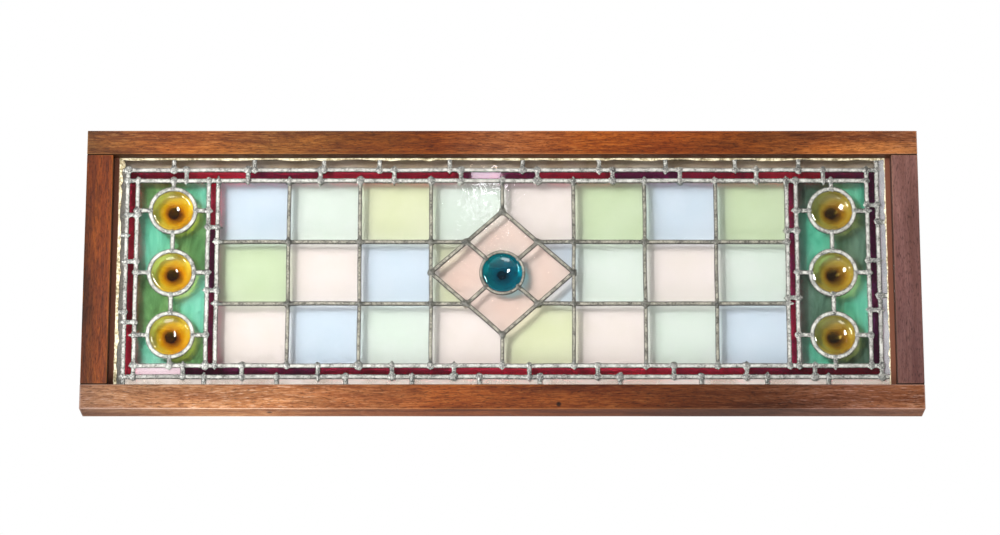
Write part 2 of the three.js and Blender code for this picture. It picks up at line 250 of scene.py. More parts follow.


# The tones of each member, and "run", how light it is along its length from left or bottom, with
# painted glare and sheen in it.
ORANGE_BROWN = {
    "dark": "4c1f0a",
    "middle": "7f4116",
    "light": "a25c22",
    "worn": "c08048",
    "grime": 0.75,
    "streaks": 0.3,
    "wear": 0.45,
    "run": [
        (0.0, (0.48, 0.65, 0.82)),
        (0.1, (1.06, 1.13, 1.11)),
        (0.22, (0.78, 1.03, 1.18)),
        (0.32, (0.54, 0.55, 0.41)),
        (0.42, (0.49, 0.36, 0.14)),
        (0.5, (0.82, 0.97, 1.7)),
        (0.6, (0.92, 0.82, 0.5)),
        (0.7, (0.55, 0.39, 0.27)),
        (0.8, (0.6, 0.51, 0.4)),
        (0.9, (1.05, 1.13, 1.37)),
        (1.0, (0.83, 1.09, 2.2)),
    ],
}
PALE_BROWN = {
    "dark": "70391a",
    "middle": "aa6a3a",
    "light": "c98a54",
    "worn": "f0c49c",
    "grime": 0.6,
    "streaks": 0.45,
    "wear": 0.6,
    "run": [
        (0.0, (0.27, 0.3, 0.43)),
        (0.1, (0.56, 0.64, 0.82)),
        (0.2, (0.83, 0.94, 1.15)),
        (0.3, (0.49, 0.43, 0.41)),
        (0.42, (0.33, 0.2, 0.09)),
        (0.6, (0.22, 0.13, 0.06)),
        (0.72, (0.13, 0.08, 0.045)),
        (0.82, (0.13, 0.1, 0.1)),
        (0.92, (0.3, 0.29, 0.43)),
        (1.0, (0.42, 0.43, 0.58)),
    ],
}
# The right stile's purple cast is partly a painted reflection of bluish light in its varnish.
PURPLE_BROWN_WITH_PAINTED_SHEEN = {
    "dark": "58372f",
    "middle": "66433d",
    "light": "7e584e",
    "worn": "94664c",
    "grime": 0.35,
    "streaks": 0.12,
    "wear": 0.3,
    "run": [
        (0.0, (0.46, 0.44, 0.48)),
        (0.25, (0.62, 0.66, 0.74)),
        (0.45, (0.85, 0.9, 1.0)),
        (1.0, (0.92, 0.98, 1.0)),
    ],
}
LEFT_STILE_BROWN = {
    "dark": "3c1404",
    "middle": "6a2c09",
    "light": "884414",
    "worn": "9c5824",
    "grime": 0.8,
    "streaks": 0.2,
    "wear": 0.4,
    "run": [(0.0, (0.75, 0.8, 0.4)), (1.0, (0.74, 0.7, 0.25))],
}
RAIL_KNOTS = [((0.079, -0.0225, 0.006), 5 * MM), ((-0.324, -0.004, 0.0), 6 * MM)]
SASH_MEMBERS = [
    # node, axis of the grain, tones, seed, side of the glass, knots (place in metres, radius)
    ("bottom_rail", X, PALE_BROWN, 3.1, 1, RAIL_KNOTS),
    ("top_rail", X, ORANGE_BROWN, 8.4, -1, []),
    ("left_stile", Z, LEFT_STILE_BROWN, 1.7, 1, []),
    ("right_stile", Z, PURPLE_BROWN_WITH_PAINTED_SHEEN, 5.9, -1, []),
]
sight_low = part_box("bottom_rail")[1].z
sight_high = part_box("top_rail")[0].z
sight_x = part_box("right_stile")[0].x
front_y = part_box("bottom_rail")[0].y
back_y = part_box("bottom_rail")[1].y

for node, along, tones, seed, sight_side, knots in SASH_MEMBERS:
    across = Z if along == X else X
    low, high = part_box(node)
    member = add_block("sash_" + node, low, high)
    divide(member, along, PLANING_CUTS[along])
    cutter = add_block(
        "rebate_cutter",
        (-sight_x - REBATE_WIDTH, front_y + LIP, sight_low - REBATE_WIDTH),
        (sight_x + REBATE_WIDTH, back_y + 10 * MM, sight_high + REBATE_WIDTH),
    )
    apply_modifier(member, "BOOLEAN", object=cutter, operation="DIFFERENCE", solver="EXACT")
    bpy.data.objects.remove(cutter)
    round_edges(member, ARRIS, 2)
    # Planed by hand: faces dip by a few tenths of a millimetre, never past their box.
    centre = (low + high) / 2
    for vertex in member.data.vertices:
        for axis in (Y, across):
            dip = PLANED_DIP * (1 + noise.noise(vertex.co * 9 + Vector((seed, axis, 0))))
            vertex.co[axis] -= math.copysign(dip, vertex.co[axis] - centre[axis])
    smooth(member, 20)
    wood = varnished_hardwood(
        "varnished_hardwood_" + node, low, high, along, across, tones, seed, sight_side, knots
    )
    member.data.materials.append(wood)
    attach(member, "root")
    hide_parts(node)


# ---- Panes of the field and the diamond ----
# Machine-rolled cathedral glass in pale tints, cut to squares and kites and held by its edges
# in the lead. The diamond's four kites are a hammered glass.

GRID = 9 * MM  # spacing of the points that carry the ripple


def ripple_faces(piece, middle_y, rise, scale, back):
    """Lets the two faces rise and fall, each by its own layer of one noise."""
    for vertex in piece.data.vertices:
        layer = 0 if vertex.co.y < middle_y else back
        across = Vector((vertex.co.x * scale, layer, vertex.co.z * scale))
        vertex.co.y += rise * noise.noise(across)


def cut_pane(node):
    """A pane from its CAD outline, divided finely enough to ripple."""
    low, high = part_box(node)
    pane = bpy.data.objects.new("glass_" + node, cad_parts[node].data.copy())
    pane.data.name = pane.name
    pane.data.materials.clear()
    bpy.context.scene.collection.objects.link(pane)
    pick(pane)
    bpy.ops.object.mode_set(mode="EDIT")
    bpy.ops.mesh.select_all(action="SELECT")
    bpy.ops.mesh.remove_doubles(threshold=0.01 * MM)
    bpy.ops.mesh.dissolve_limited(angle_limit=math.radians(1))
    for axis in (X, Z):
        count = max(1, round((high[axis] - low[axis]) / GRID))
        for i in range(1, count):
            line = Vector((0, 0, 0))
            line[axis] = low[axis] + (high[axis] - low[axis]) * i / count
            facing = Vector((0, 0, 0))
            facing[axis] = 1
            bpy.ops.mesh.select_all(action="SELECT")
            bpy.ops.mesh.bisect(plane_co=line, plane_no=facing)
    bpy.ops.object.mode_set(mode="OBJECT")
    ripple_faces(pane, (low.y + high.y) / 2, 0.13 * MM, 28, 40)
    smooth(pane, 35)
    return pane


def glaze(tree, colour, swell, relief, roughness, clear=1, strength=1):
    """Clear glass of that colour, its face swelled, whose shadow is the colour it lets through."""
    bumps = {"Strength": strength, "Distance": relief, "Height": swell}
    finish = {
        "Base Color": colour,
        "Normal": add_node(tree, "Bump", bumps),
        "Roughness": roughness,
        "IOR": 1.5,
        "Transmission Weight": clear,
    }
    surface = add_node(tree, "BsdfPrincipled", finish)
    one_face = add_node(tree, "Gamma", {"Color": colour, "Gamma": 0.5})
    passed = add_node(tree, "BsdfTransparent", {"Color": one_face})
    lamp = add_node(tree, "LightPath", output="Is Shadow Ray")
    mixed = add_node(tree, "MixShader", {0: lamp, 1: surface, 2: passed})
    add_node(tree, "OutputMaterial", {"Surface": mixed})


# Cathedral glass gives the eye a thin even tint that drifts over about 45 mm, a faint rolled
# waviness that bends what is behind it, and a mirror shine.
def cathedral_glass(name, tint, other_tint, ripple, scale, clear=1):
    material, tree = new_material(name)
    place = add_node(tree, "TexCoord", output="Object")
    clouds = {"Vector": place, "Scale": 22, "Detail": 3, "Distortion": 0.4}
    drift = add_node(tree, "TexNoise", clouds, "Fac")
    colour = add_node(tree, "ValToRGB", {"Fac": drift}, stops=[(0.35, tint), (0.68, other_tint)])
    swell = add_node(tree, "TexNoise", {"Vector": place, "Scale": scale, "Detail": 2}, "Fac")
    glaze(tree, colour, swell, ripple, 0.03, clear)
    return material


ROLLED = (0.25 * MM, 90)  # height and scale of the rolled waves, about 11 mm long
FIELD_GLASS = {
    "blue": cathedral_glass("cathedral_glass_pale_blue", "eef5fb", "e9f2f9", *ROLLED),
    "mint": cathedral_glass("cathedral_glass_mint", "f5faf5", "f0f8f0", *ROLLED),
    "yellow": cathedral_glass("cathedral_glass_pale_yellow", "f4f6e2", "f0f3da", *ROLLED),
    "green": cathedral_glass("cathedral_glass_pale_green", "eaf3de", "e5efd6", *ROLLED),
    "blush": cathedral_glass("cathedral_glass_blush", "fef8f5", "fbf5f0", *ROLLED),
}
HAMMERED = (0.32 * MM, 260)  # the hammer's dimples are about 4 mm across
hammered_blush = cathedral_glass("hammered_glass_blush", "fdf1ea", "fae8df", *HAMMERED)
ROWS = {
    "top": ["blue", "mint", "yellow", "mint", "blush", "green", "blue", "green"],
    "middle": ["green", "blush", "blue", None, None, "mint", "blush", "mint"],
    "bottom": ["blush", "blue", "mint", "blush", "yellow", "blush", "mint", "blue"],
}


def set_pane(pane, node, material):
    if material:
        pane.data.materials.append(material)
    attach(pane, "root")
    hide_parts(node)


for row, tints in ROWS.items():
    for i, tint in enumerate(tints, 1):
        if tint:
            node = f"pane_{row}_{i}"
            set_pane(cut_pane(node), node, FIELD_GLASS[tint])
for node in ("diamond_top", "diamond_right", "diamond_bottom", "diamond_left"):
    set_pane(cut_pane(node), node, hammered_blush)
for node, tint in (("corner_glass_left", "yellow"), ("corner_glass_right", "blue")):
    set_pane(cut_pane(node), node, FIELD_GLASS[tint])


# ---- Side panes ----
# Streaky green and teal glass round the roundels, each colour swirled through the other's in
# the sheet, cut to half circles where it meets the rings.


# Streaky glass gives the eye drawn-out wisps, from clear bright to deep colour, in one pane.
# They are about 26 mm wide and three times as long, on a face that swells every 14 mm or so.
def streaky_glass(name, deep, middle, bright, seed):
    material, tree = new_material(name)
    place = add_node(tree, "TexCoord", output="Object")
    turned = {"Location": (seed, 0, 0), "Rotation": (0, 0.5, 0), "Scale": (1, 1, 0.35)}
    drawn = add_node(tree, "Mapping", {"Vector": place, **turned})
    swirl = {"Vector": drawn, "Scale": 38, "Detail": 4, "Roughness": 0.55, "Distortion": 1.2}
    wisps = add_node(tree, "TexNoise", swirl, "Fac")
    tints = [(0.32, deep), (0.5, middle), (0.68, bright)]
    colour = add_node(tree, "ValToRGB", {"Fac": wisps}, stops=tints)
    swell = add_node(tree, "TexNoise", {"Vector": place, "Scale": 70, "Detail": 2}, "Fac")
    glaze(tree, colour, swell, 0.3 * MM, 0.04)
    return material


SIDE_GLASS = {
    "left": {
        "teal": streaky_glass("streaky_glass_pale_teal", "88c9b2", "aae7d3", "d0f8ec", 2.0),
        "green": streaky_glass("streaky_glass_green", "82a47e", "9fc69a", "bcdcb2", 6.0),
    },
    "right": {
        "teal": streaky_glass("streaky_glass_teal", "78bfab", "9be0ca", "c0f2e4", 3.0),
        "green": streaky_glass("streaky_glass_deep_green", "6a8279", "90ac9c", "aac2b6", 8.0),
    },
}
for side in ("left", "right"):
    for level in (1, 2, 3, 4):
        for half in ("left", "right"):
            node = f"side_{side}_{level}_{half}"
            tint = "green" if (level % 2 == 1) == (half == "left") else "teal"
            set_pane(cut_pane(node), node, SIDE_GLASS[side][tint])


# ---- Roundels and jewel ----
# Seven pressed bullseyes: a saucer of glass hollowed in front, with a thick boss behind where
# the colour is deepest. Six are amber, and the one in the diamond is a deep teal.

BULLSEYE = [
    # share of the radius, distance behind the glass plane in mm, depth of colour
    (0.06, 4.0, 0.3),
    (0.18, 3.95, 0.3),
    (0.26, 3.75, 0.3),
    (0.34, 3.2, 0.3),
    (0.45, 2.25, 0.3),
    (0.58, 1.0, 0.3),
    (0.7, -0.6, 0.27),
    (0.77, -1.9, 0.22),
    (0.83, -2.3, 0.2),
    (0.88, -2.0, 0.2),
    (0.93, -1.35, 0.2),
    (1.0, -0.9, 0.2),
    (1.0, 0.9, 0.2),
    (0.94, 1.35, 0.15),
    (0.86, 1.5, 0.1),
    (0.74, 2.4, 0.08),
    (0.63, 4.0, 0.26),
    (0.52, 5.6, 0.38),
    (0.42, 7.2, 0.55),
    (0.31, 8.6, 0.82),
    (0.2, 9.8, 1.05),
    (0.1, 10.6, 1.1),
    (0.03, 10.7, 1.1),
]
BULLSEYE_SIDES = 56
FACE_DEPTH = 0.3  # depth of colour of the front face, and what is deeper belongs to the boss
BOSS_ASIDE, BOSS_DROP = 1.6, 2.2  # mm by which a boss sits towards the window's middle, and low
CAD_SIDES = 16  # of the plain disc, whose flats touch its box
pane_low, pane_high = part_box("pane_top_1")
glass_y = (pane_low.y + pane_high.y) / 2


def press_bullseye(node):
    """Rings pushed out and drawn in, from the front middle over the rim to the boss."""
    low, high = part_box(node)
    middle = (low + high) / 2
    radius = (high.x - low.x) / 2 / math.cos(math.pi / CAD_SIDES)
    share, depth, _ = BULLSEYE[0]
    deselect()
    bpy.ops.mesh.primitive_circle_add(
        vertices=BULLSEYE_SIDES,
        radius=radius * share,
        location=(middle.x, glass_y + depth * MM, middle.z),
        rotation=(math.pi / 2, 0, 0),
    )
    piece = settle("glass_" + node)
    bpy.ops.object.mode_set(mode="EDIT")
    bpy.ops.mesh.select_all(action="SELECT")
    for (share, depth, _), (last_share, last_depth, _) in zip(BULLSEYE[1:], BULLSEYE):
        push = (0, (depth - last_depth) * MM, 0)
        bpy.ops.mesh.extrude_edges_move(TRANSFORM_OT_translate={"value": push})
        grow = share / last_share
        ring_centre = (middle.x, glass_y + depth * MM, middle.z)
        bpy.ops.transform.resize(value=(grow, 1, grow), center_override=ring_centre)
    bpy.ops.mesh.select_all(action="SELECT")
    bpy.ops.mesh.fill_holes(sides=0)
    bpy.ops.mesh.normals_make_consistent(inside=False)
    bpy.ops.object.mode_set(mode="OBJECT")
    colour_depth = piece.data.attributes.new("colour_depth", "FLOAT", "POINT")
    for ring, (_, _, strength) in enumerate(BULLSEYE):
        for i in range(BULLSEYE_SIDES):
            colour_depth.data[ring * BULLSEYE_SIDES + i].value = strength
    # Pressed by hand: the boss sits off the middle, and nothing is quite round.
    luck = noise.noise(Vector((middle.x * 30, 3, middle.z * 30)))
    sideways = math.copysign(BOSS_ASIDE, -middle.x) + 2 * luck
    aside = Vector((sideways, 0, luck - BOSS_DROP)) * MM
    for vertex in piece.data.vertices:
        outward = Vector((vertex.co.x - middle.x, 0, vertex.co.z - middle.z))
        swell = noise.noise(vertex.co * 60 + Vector((middle.x * 50, 0, 0)))
        deep = max(0, colour_depth.data[vertex.index].value - FACE_DEPTH)
        # The colour has run together towards the lower right of the ring.
        gathered = (outward.x - outward.z) / radius
        colour_depth.data[vertex.index].value += 0.06 * gathered + 0.03 * swell
        vertex.co += outward * 0.02 * swell + Vector((0, 0.25 * MM * swell, 0)) + aside * deep
    smooth(piece, 60)
    return piece


STRIAE = 0.26  # how far the striae shift the depth of colour, from least to most
PRESS_RINGS = 44  # seven fine rings for each unit of the depth of colour


# Pressed pot glass gives the eye a clear bright ring where it is thin and a near black heart where
# it is thick, with faint curved striae 13 mm apart and a wet shine. The heart's black is partly
# the glass's own deep colour and partly a painted dark, for what the thick boss shows of the dark
# room by refraction.
def pot_glass(name, stops, ringed, seed):
    material, tree = new_material(name)
    depth = add_node(tree, "Attribute", output="Fac", attribute_name="colour_depth")
    place = add_node(tree, "TexCoord", output="Object")
    curls = {"Vector": place, "Scale": 75 + seed, "Detail": 3, "Distortion": 1.5}
    striae = add_node(tree, "TexNoise", curls, "Fac")
    tone = add_node(tree, "Math", {0: striae, 1: STRIAE, 2: depth}, operation="MULTIPLY_ADD")
    tone = add_node(tree, "Math", {0: tone, 1: STRIAE / 2}, operation="SUBTRACT")
    rings = add_node(tree, "Math", {0: depth, 1: PRESS_RINGS}, operation="MULTIPLY")
    rings = add_node(tree, "Math", {0: rings}, operation="SINE")
    tone = add_node(tree, "Math", {0: rings, 1: ringed, 2: tone}, operation="MULTIPLY_ADD")
    colour = add_node(tree, "ValToRGB", {"Fac": tone}, stops=stops)
    glaze(tree, colour, striae, 0.3 * MM, 0.04, strength=0.6)
    return material


# The last, near black stop of each ramp is partly a painted dark, for what the boss shows by
# refraction.
AMBER = [(0.02, "fff2a0"), (0.2, "f8e058"), (0.4, "ecb400"), (0.68, "a85c04"), (0.94, "0a0301")]
OLIVE = [(0.02, "dad292"), (0.2, "dece72"), (0.4, "cfac4a"), (0.68, "8f5a20"), (0.95, "0c0503")]
TEAL = [(0.02, "04949e"), (0.22, "0092a2"), (0.45, "008498"), (0.9, "006078"), (1.08, "000a14")]
amber_glass = {
    "left": pot_glass("pressed_amber_glass", AMBER, 0.03, 0),
    "right": pot_glass("pressed_olive_amber_glass", OLIVE, 0.07, 2),
}
teal_glass = pot_glass("pressed_teal_glass", TEAL, 0.06, 5)
for side in ("left", "right"):
    for level in ("top", "middle", "bottom"):
        node = f"roundel_{side}_{level}"
        set_pane(press_bullseye(node), node, amber_glass[side])
set_pane(press_bullseye("centre_jewel"), "centre_jewel", teal_glass)


# ---- Border strips ----
# Narrow offcuts of ruby and of clear glass, end to end round the panel, with a short lead
# across every joint. One of them is a pale pink.

SETBACK = 1.1 * MM  # from the centre line of a came to the edge of the glass in it
ruby_low, ruby_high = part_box("ruby_border_strips")
clear_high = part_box("clear_border_strips")[1]
panel_z = (ruby_low.z + ruby_high.z) / 2
field_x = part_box("pane_top_8")[1].x + SETBACK
field_z = pane_high.z + SETBACK - panel_z
bar_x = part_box("side_right_1_left")[0].x - SETBACK
inner_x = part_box("side_right_1_right")[1].x + SETBACK
outer_x = ruby_high.x + SETBACK
outer_z = ruby_high.z + SETBACK - panel_z
rim_x = clear_high.x + SETBACK
rim_z = clear_high.z + SETBACK - panel_z
# Where the strips meet, in mm: X along the top and bottom, Z above the panel's middle at the
# sides. The bars stand between the field and the side panels.
RUBY_JOINTS = {
    "top": [-450, -362, -259, -154, -59, 50, 157, 253, 362, 457],
    "bottom": [-448.5, -366, -259, -155, -68, 38, 134, 241, 343, 439],
    "left": [-73, 16, 85],
    "right": [-55, 18, 100],
}
CLEAR_JOINTS = {
    "top": [-468, -353, -254, -175, -75, 29, 138, 233, 332, 422],
    "bottom": [-419, -317, -220, -127, -32, 53, 165, 279, 372, 458],
    "left": [-58, 55],
    "right": [-34, 75],
}
BAR_JOINTS = {"left": [-26, 67], "right": [-37, 62]}
BANDS = (
    ((inner_x, field_z), (outer_x, outer_z), RUBY_JOINTS),
    ((outer_x, outer_z), (rim_x, rim_z), CLEAR_JOINTS),
)


def band_runs(inside, outside, joints):
    """The strips of one border as (low X, high X, low Z, high Z), laid like a pinwheel."""
    (in_x, in_z), (out_x, out_z) = inside, outside
    runs = []
    for side, start, stop, across in (
        ("top", -out_x, in_x, (in_z, out_z)),
        ("bottom", -in_x, out_x, (-out_z, -in_z)),
        ("left", -out_z, in_z, (-out_x, -in_x)),
        ("right", -in_z, out_z, (in_x, out_x)),
    ):
        stops = [start, *[joint * MM for joint in joints[side]], stop]
        for a, b in zip(stops, stops[1:]):
            runs.append((a, b, *across) if side in ("top", "bottom") else (*across, a, b))
    return runs


def cut_strip(run, tone):
    """One strip, its edges ground round and its faces uneven."""
    low_x, high_x, low_z, high_z = run
    low = Vector((low_x + SETBACK, pane_low.y, panel_z + low_z + SETBACK))
    high = Vector((high_x - SETBACK, pane_high.y, panel_z + high_z - SETBACK))
    strip = add_block("strip", low, high)
    along = X if high.x - low.x > high.z - low.z else Z
    divide(strip, along, max(2, round((high - low)[along] / (8 * MM))))
    round_edges(strip, 0.3 * MM, 1)
    ripple_faces(strip, (low.y + high.y) / 2, 0.1 * MM, 18, 30)
    for point in strip.data.attributes.new("strip_tone", "FLOAT", "POINT").data:
        point.value = tone
    return strip


def join(pieces, name):
    pick(pieces[0])
    for piece in pieces:
        piece.select_set(True)
    bpy.ops.object.join()
    return keep_name(bpy.context.object, name)


ruby_runs, clear_runs = (band_runs(*band) for band in BANDS)
for side, turn in (("left", -1), ("right", 1)):
    stops = [-field_z, *[joint * MM for joint in BAR_JOINTS[side]], field_z]
    across = sorted((turn * field_x, turn * bar_x))
    ruby_runs += [(*across, a, b) for a, b in zip(stops, stops[1:])]
pink_low, pink_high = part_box("pink_border_strip")
pink_run = (
    pink_low.x - SETBACK,
    pink_high.x + SETBACK,
    pink_low.z - panel_z - SETBACK,
    pink_high.z - panel_z + SETBACK,
)
ruby_runs = [run for run in ruby_runs if max(abs(a - b) for a, b in zip(run, pink_run)) > MM]


def strip_tone(run):
    """How dark a ruby strip is: some of the offcuts come from a plum-coloured sheet."""
    x, z = (run[0] + run[1]) / 2, (run[2] + run[3]) / 2
    luck = 0.3 + 0.8 * noise.noise(Vector((x * 37, 5, z * 53)))
    upright = abs(z) < field_z
    in_bar = upright and field_x < abs(x) < inner_x
    right_side = upright and x > inner_x
    middle_of_left_bar = in_bar and x < 0 and abs(z) < 50 * MM
    first_below = z < -field_z and x < -360 * MM
    if right_side or middle_of_left_bar or first_below:
        luck += 0.55
    elif in_bar and x > 0:
        luck += 0.25
    return max(0, min(1, luck))


# Ruby glass gives the eye a red so deep that it reads near black until light comes through,
# clouded over about 17 mm.
ruby_glass, tree = new_material("flashed_ruby_glass")
place = add_node(tree, "TexCoord", output="Object")
tone = add_node(tree, "Attribute", output="Fac", attribute_name="strip_tone")
cloud = add_node(tree, "TexNoise", {"Vector": place, "Scale": 60, "Detail": 3}, "Fac")
depth = add_node(tree, "Math", {0: cloud, 1: 0.5, 2: tone}, operation="MULTIPLY_ADD")
reds = [(0.3, "e43a58"), (0.65, "b42a48"), (1.0, "842e60")]
colour = add_node(tree, "ValToRGB", {"Fac": depth}, stops=reds)
glaze(tree, colour, cloud, 0.04 * MM, 0.04)
pink_glass = cathedral_glass("pale_pink_glass", "f6e2e8", "eed3dc", *ROLLED, 0.75)
# Clear border glass gives the eye a thin haze over what is behind: pale putty dust along the
# bottom, little haze at the sides. The brown film along the top is a painted shade, for the shadow
# under the top rail.
DRAWN = (0.2 * MM, 60)  # height and scale of the waves in drawn glass, about 17 mm long
CLEAR_GLASS = {
    "top": cathedral_glass("clear_glass_painted_shade", "faf1e4", "d4c2a6", *DRAWN),
    "bottom": cathedral_glass("dusty_clear_glass", "fff9f3", "e6d9cc", *DRAWN, 0.72),
    "left": cathedral_glass("clear_drawn_glass", "efede7", "cbc7be", *DRAWN, 0.95),
    "right": cathedral_glass("hazy_clear_glass", "f4f4f6", "d6d8de", *DRAWN, 0.85),
}
for node, runs, material, slot in (
    ("ruby_border_strips", ruby_runs, ruby_glass, "ruby_glass"),
    ("pink_border_strip", [pink_run], pink_glass, "pink_glass"),
    ("clear_border_strips", clear_runs, None, "clear_glass"),
):
    strips = [cut_strip(run, strip_tone(run)) for run in runs]
    for strip, run in zip(strips, runs):
        if not material:
            side = "left" if run[0] < 0 else "right"
            side = "top" if run[2] > field_z else "bottom" if run[3] < -field_z else side
            strip.data.materials.append(CLEAR_GLASS[side])
    strips = join(strips, "glass_" + node)
    smooth(strips, 30)
    set_pane(strips, node, material)


# ---- Lead ----
# Cast and milled lead cames, H in section, cut to length, bent round the roundels and soldered
# on both faces wherever they meet. Weathered pale at the border and dark in the field.

lead_low, lead_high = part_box("lead_cames")
FLANGE = 1.1 * MM
HEART = 1.5 * MM
CAME_WIDTH = 6.2 * MM
FIELD_WIDTH = 5.4 * MM  # the field's leads are rubbed narrower, and the jewel's ring too
JEWEL_WIDTH = 4.4 * MM
RIM_WIDTH = 10 * MM
ROUNDEL_RING = 32 * MM
JEWEL_RING = 30.4 * MM
DOME = 0.35 * MM  # how far a leaf's edges fall back from its crown
DIVISION = 11 * MM  # length of lead between points, for its small bends
RING_DIVISIONS = 40


def came_stock(width, divisions):
    """A unit length of came along X: the domed front leaf, the heart and the back leaf."""
    bars = []
    for low_y, high_y, across, face in (
        (lead_low.y, lead_low.y + FLANGE, width, -1),
        (lead_low.y + FLANGE * 0.8, lead_high.y - FLANGE * 0.8, HEART, 0),
        (lead_high.y - FLANGE, lead_high.y, width, 1),
    ):
        bar = add_block("came_bar", (0, low_y, -across / 2), (1, high_y, across / 2))
        if divisions > 1:
            divide(bar, X, divisions - 1)
        if face:
            divide(bar, Z, 3)
        edge = bar.data.attributes.new("came_edge", "FLOAT", "POINT")
        for vertex in bar.data.vertices:
            out = abs(vertex.co.z) / (across / 2)
            edge.data[vertex.index].value = out if face else 1
            outside = low_y if face < 0 else high_y
            if face and abs(vertex.co.y - outside) < 0.01 * MM:
                vertex.co.y -= face * DOME * out**2.5
        bars.append(bar)
    return join(bars, "came_stock")


def copy_of(name, mesh):
    """A piece of its own with its own copy of a mesh."""
    piece = bpy.data.objects.new(name, mesh.copy())
    bpy.context.scene.collection.objects.link(piece)
    return piece


stocks = {}


def cut_stock(width, divisions):
    """A fresh piece of the stock, which is made once for each width and count of divisions."""
    if (width, divisions) not in stocks:
        stocks[width, divisions] = came_stock(width, divisions)
    return copy_of("came", stocks[width, divisions].data)


def lay_came(start, stop, width):
    """A straight came between two points of (X, Z) about the panel's middle."""
    start, stop = Vector(start), Vector(stop)
    span = stop - start
    piece = cut_stock(width, max(1, round(span.length / DIVISION)))
    turn = Matrix.Rotation(-math.atan2(span.y, span.x), 4, "Y")
    place = Matrix.Translation((start.x, 0, start.y + panel_z))
    piece.data.transform(place @ turn @ Matrix.Diagonal((span.length, 1, 1, 1)))
    return piece


def bend_came(centre, radius, width):
    """A came bent into a ring, its ends meeting at the bottom."""
    piece = cut_stock(width, RING_DIVISIONS)
    for vertex in piece.data.vertices:
        angle = 2 * math.pi * vertex.co.x - math.pi / 2
        reach = radius + vertex.co.z
        vertex.co.x = centre[0] + reach * math.cos(angle)
        vertex.co.z = centre[1] + panel_z + reach * math.sin(angle)
    return piece


column_xs = [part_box(f"pane_top_{i}")[1].x + SETBACK for i in range(1, 8)]
row_z = pane_low.z - SETBACK - panel_z
tip_x = abs(column_xs[2])  # the diamond's points reach the next columns and the row above
tip_z = 2 * row_z
side_x = (bar_x + inner_x) / 2
roundel_boxes = [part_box(f"roundel_left_{level}") for level in ("top", "middle", "bottom")]
roundel_zs = [(low.z + high.z) / 2 - panel_z for low, high in roundel_boxes]

cames = []
meetings = {}  # soldered meeting points, with the ways in which lead leaves each


def lead_line(start, stop, width=CAME_WIDTH):
    cames.append(lay_came(start, stop, width))
    way = (Vector(stop) - Vector(start)).normalized()
    for point, out in ((start, way), (stop, -way)):
        meetings.setdefault((round(point[0], 4), round(point[1], 4)), []).append(out)


# The field's columns and rows, then the diamond with the four spokes of its jewel.
for x in column_xs:
    crossings = [-field_z, -row_z, row_z, field_z]
    if abs(x) < MM:
        lead_line((x, -field_z), (x, -tip_z), FIELD_WIDTH)
        lead_line((x, tip_z), (x, field_z), FIELD_WIDTH)
    else:
        for a, b in zip(crossings, crossings[1:]):
            lead_line((x, a), (x, b), FIELD_WIDTH)
for z in (-row_z, row_z):
    stops = [-field_x, *[x for x in column_xs if x < -tip_x / 2], -tip_x / 2]
    for a, b in zip(stops, stops[1:]):
        lead_line((a, z), (b, z), FIELD_WIDTH)
        lead_line((-a, z), (-b, z), FIELD_WIDTH)
for turn_x in (-1, 1):
    for turn_z in (-1, 1):
        middle = (turn_x * tip_x / 2, turn_z * tip_z / 2)
        lead_line((0, turn_z * tip_z), middle, FIELD_WIDTH)
        lead_line(middle, (turn_x * tip_x, 0), FIELD_WIDTH)
        share = JEWEL_RING / math.hypot(*middle)
        lead_line(middle, (middle[0] * share, middle[1] * share), FIELD_WIDTH)
cames.append(bend_came((0, 0), JEWEL_RING, JEWEL_WIDTH))

# The side panels: a ring round each roundel, leads that tie the rings, and the two uprights.
for turn in (-1, 1):
    for z in roundel_zs:
        cames.append(bend_came((turn * side_x, z), ROUNDEL_RING, CAME_WIDTH))
        lead_line((turn * (side_x - ROUNDEL_RING), z), (turn * bar_x, z))
        lead_line((turn * (side_x + ROUNDEL_RING), z), (turn * inner_x, z))
    stops = [field_z, *roundel_zs, -field_z]
    for i, (a, b) in enumerate(zip(stops, stops[1:])):
        upper_end = a - (ROUNDEL_RING if i else 0)
        lower_end = b + (ROUNDEL_RING if i < len(roundel_zs) else 0)
        lead_line((turn * side_x, upper_end), (turn * side_x, lower_end))
    lead_line((turn * field_x, -field_z), (turn * field_x, field_z))
    lead_line((turn * bar_x, -field_z), (turn * bar_x, field_z))

# The long leads of the two borders, then a short one across every joint of their strips.
for (in_x, in_z), (out_x, out_z), _ in BANDS:
    lead_line((-out_x, in_z), (in_x, in_z))
    lead_line((-in_x, -in_z), (out_x, -in_z))
    lead_line((-in_x, -out_z), (-in_x, in_z))
    lead_line((in_x, -in_z), (in_x, out_z))
for (in_x, in_z), (out_x, out_z), marks in BANDS:
    for side, turn in (("top", 1), ("bottom", -1)):
        for mark in marks[side]:
            lead_line((mark * MM, turn * in_z), (mark * MM, turn * out_z))
    for side, turn in (("left", -1), ("right", 1)):
        for mark in marks[side]:
            lead_line((turn * in_x, mark * MM), (turn * out_x, mark * MM))
for side, turn in (("left", -1), ("right", 1)):
    for mark in BAR_JOINTS[side]:
        lead_line((turn * field_x, mark * MM), (turn * bar_x, mark * MM))
rim_centre_x = lead_high.x - RIM_WIDTH / 2
rim_centre_z = lead_high.z - panel_z - RIM_WIDTH / 2
for turn in (-1, 1):
    z = turn * rim_centre_z
    cames.append(lay_came((-lead_high.x, z), (lead_high.x, z), RIM_WIDTH))
    x = turn * rim_centre_x
    cames.append(lay_came((x, -rim_centre_z), (x, rim_centre_z), RIM_WIDTH))
for stock in stocks.values():
    bpy.data.objects.remove(stock)

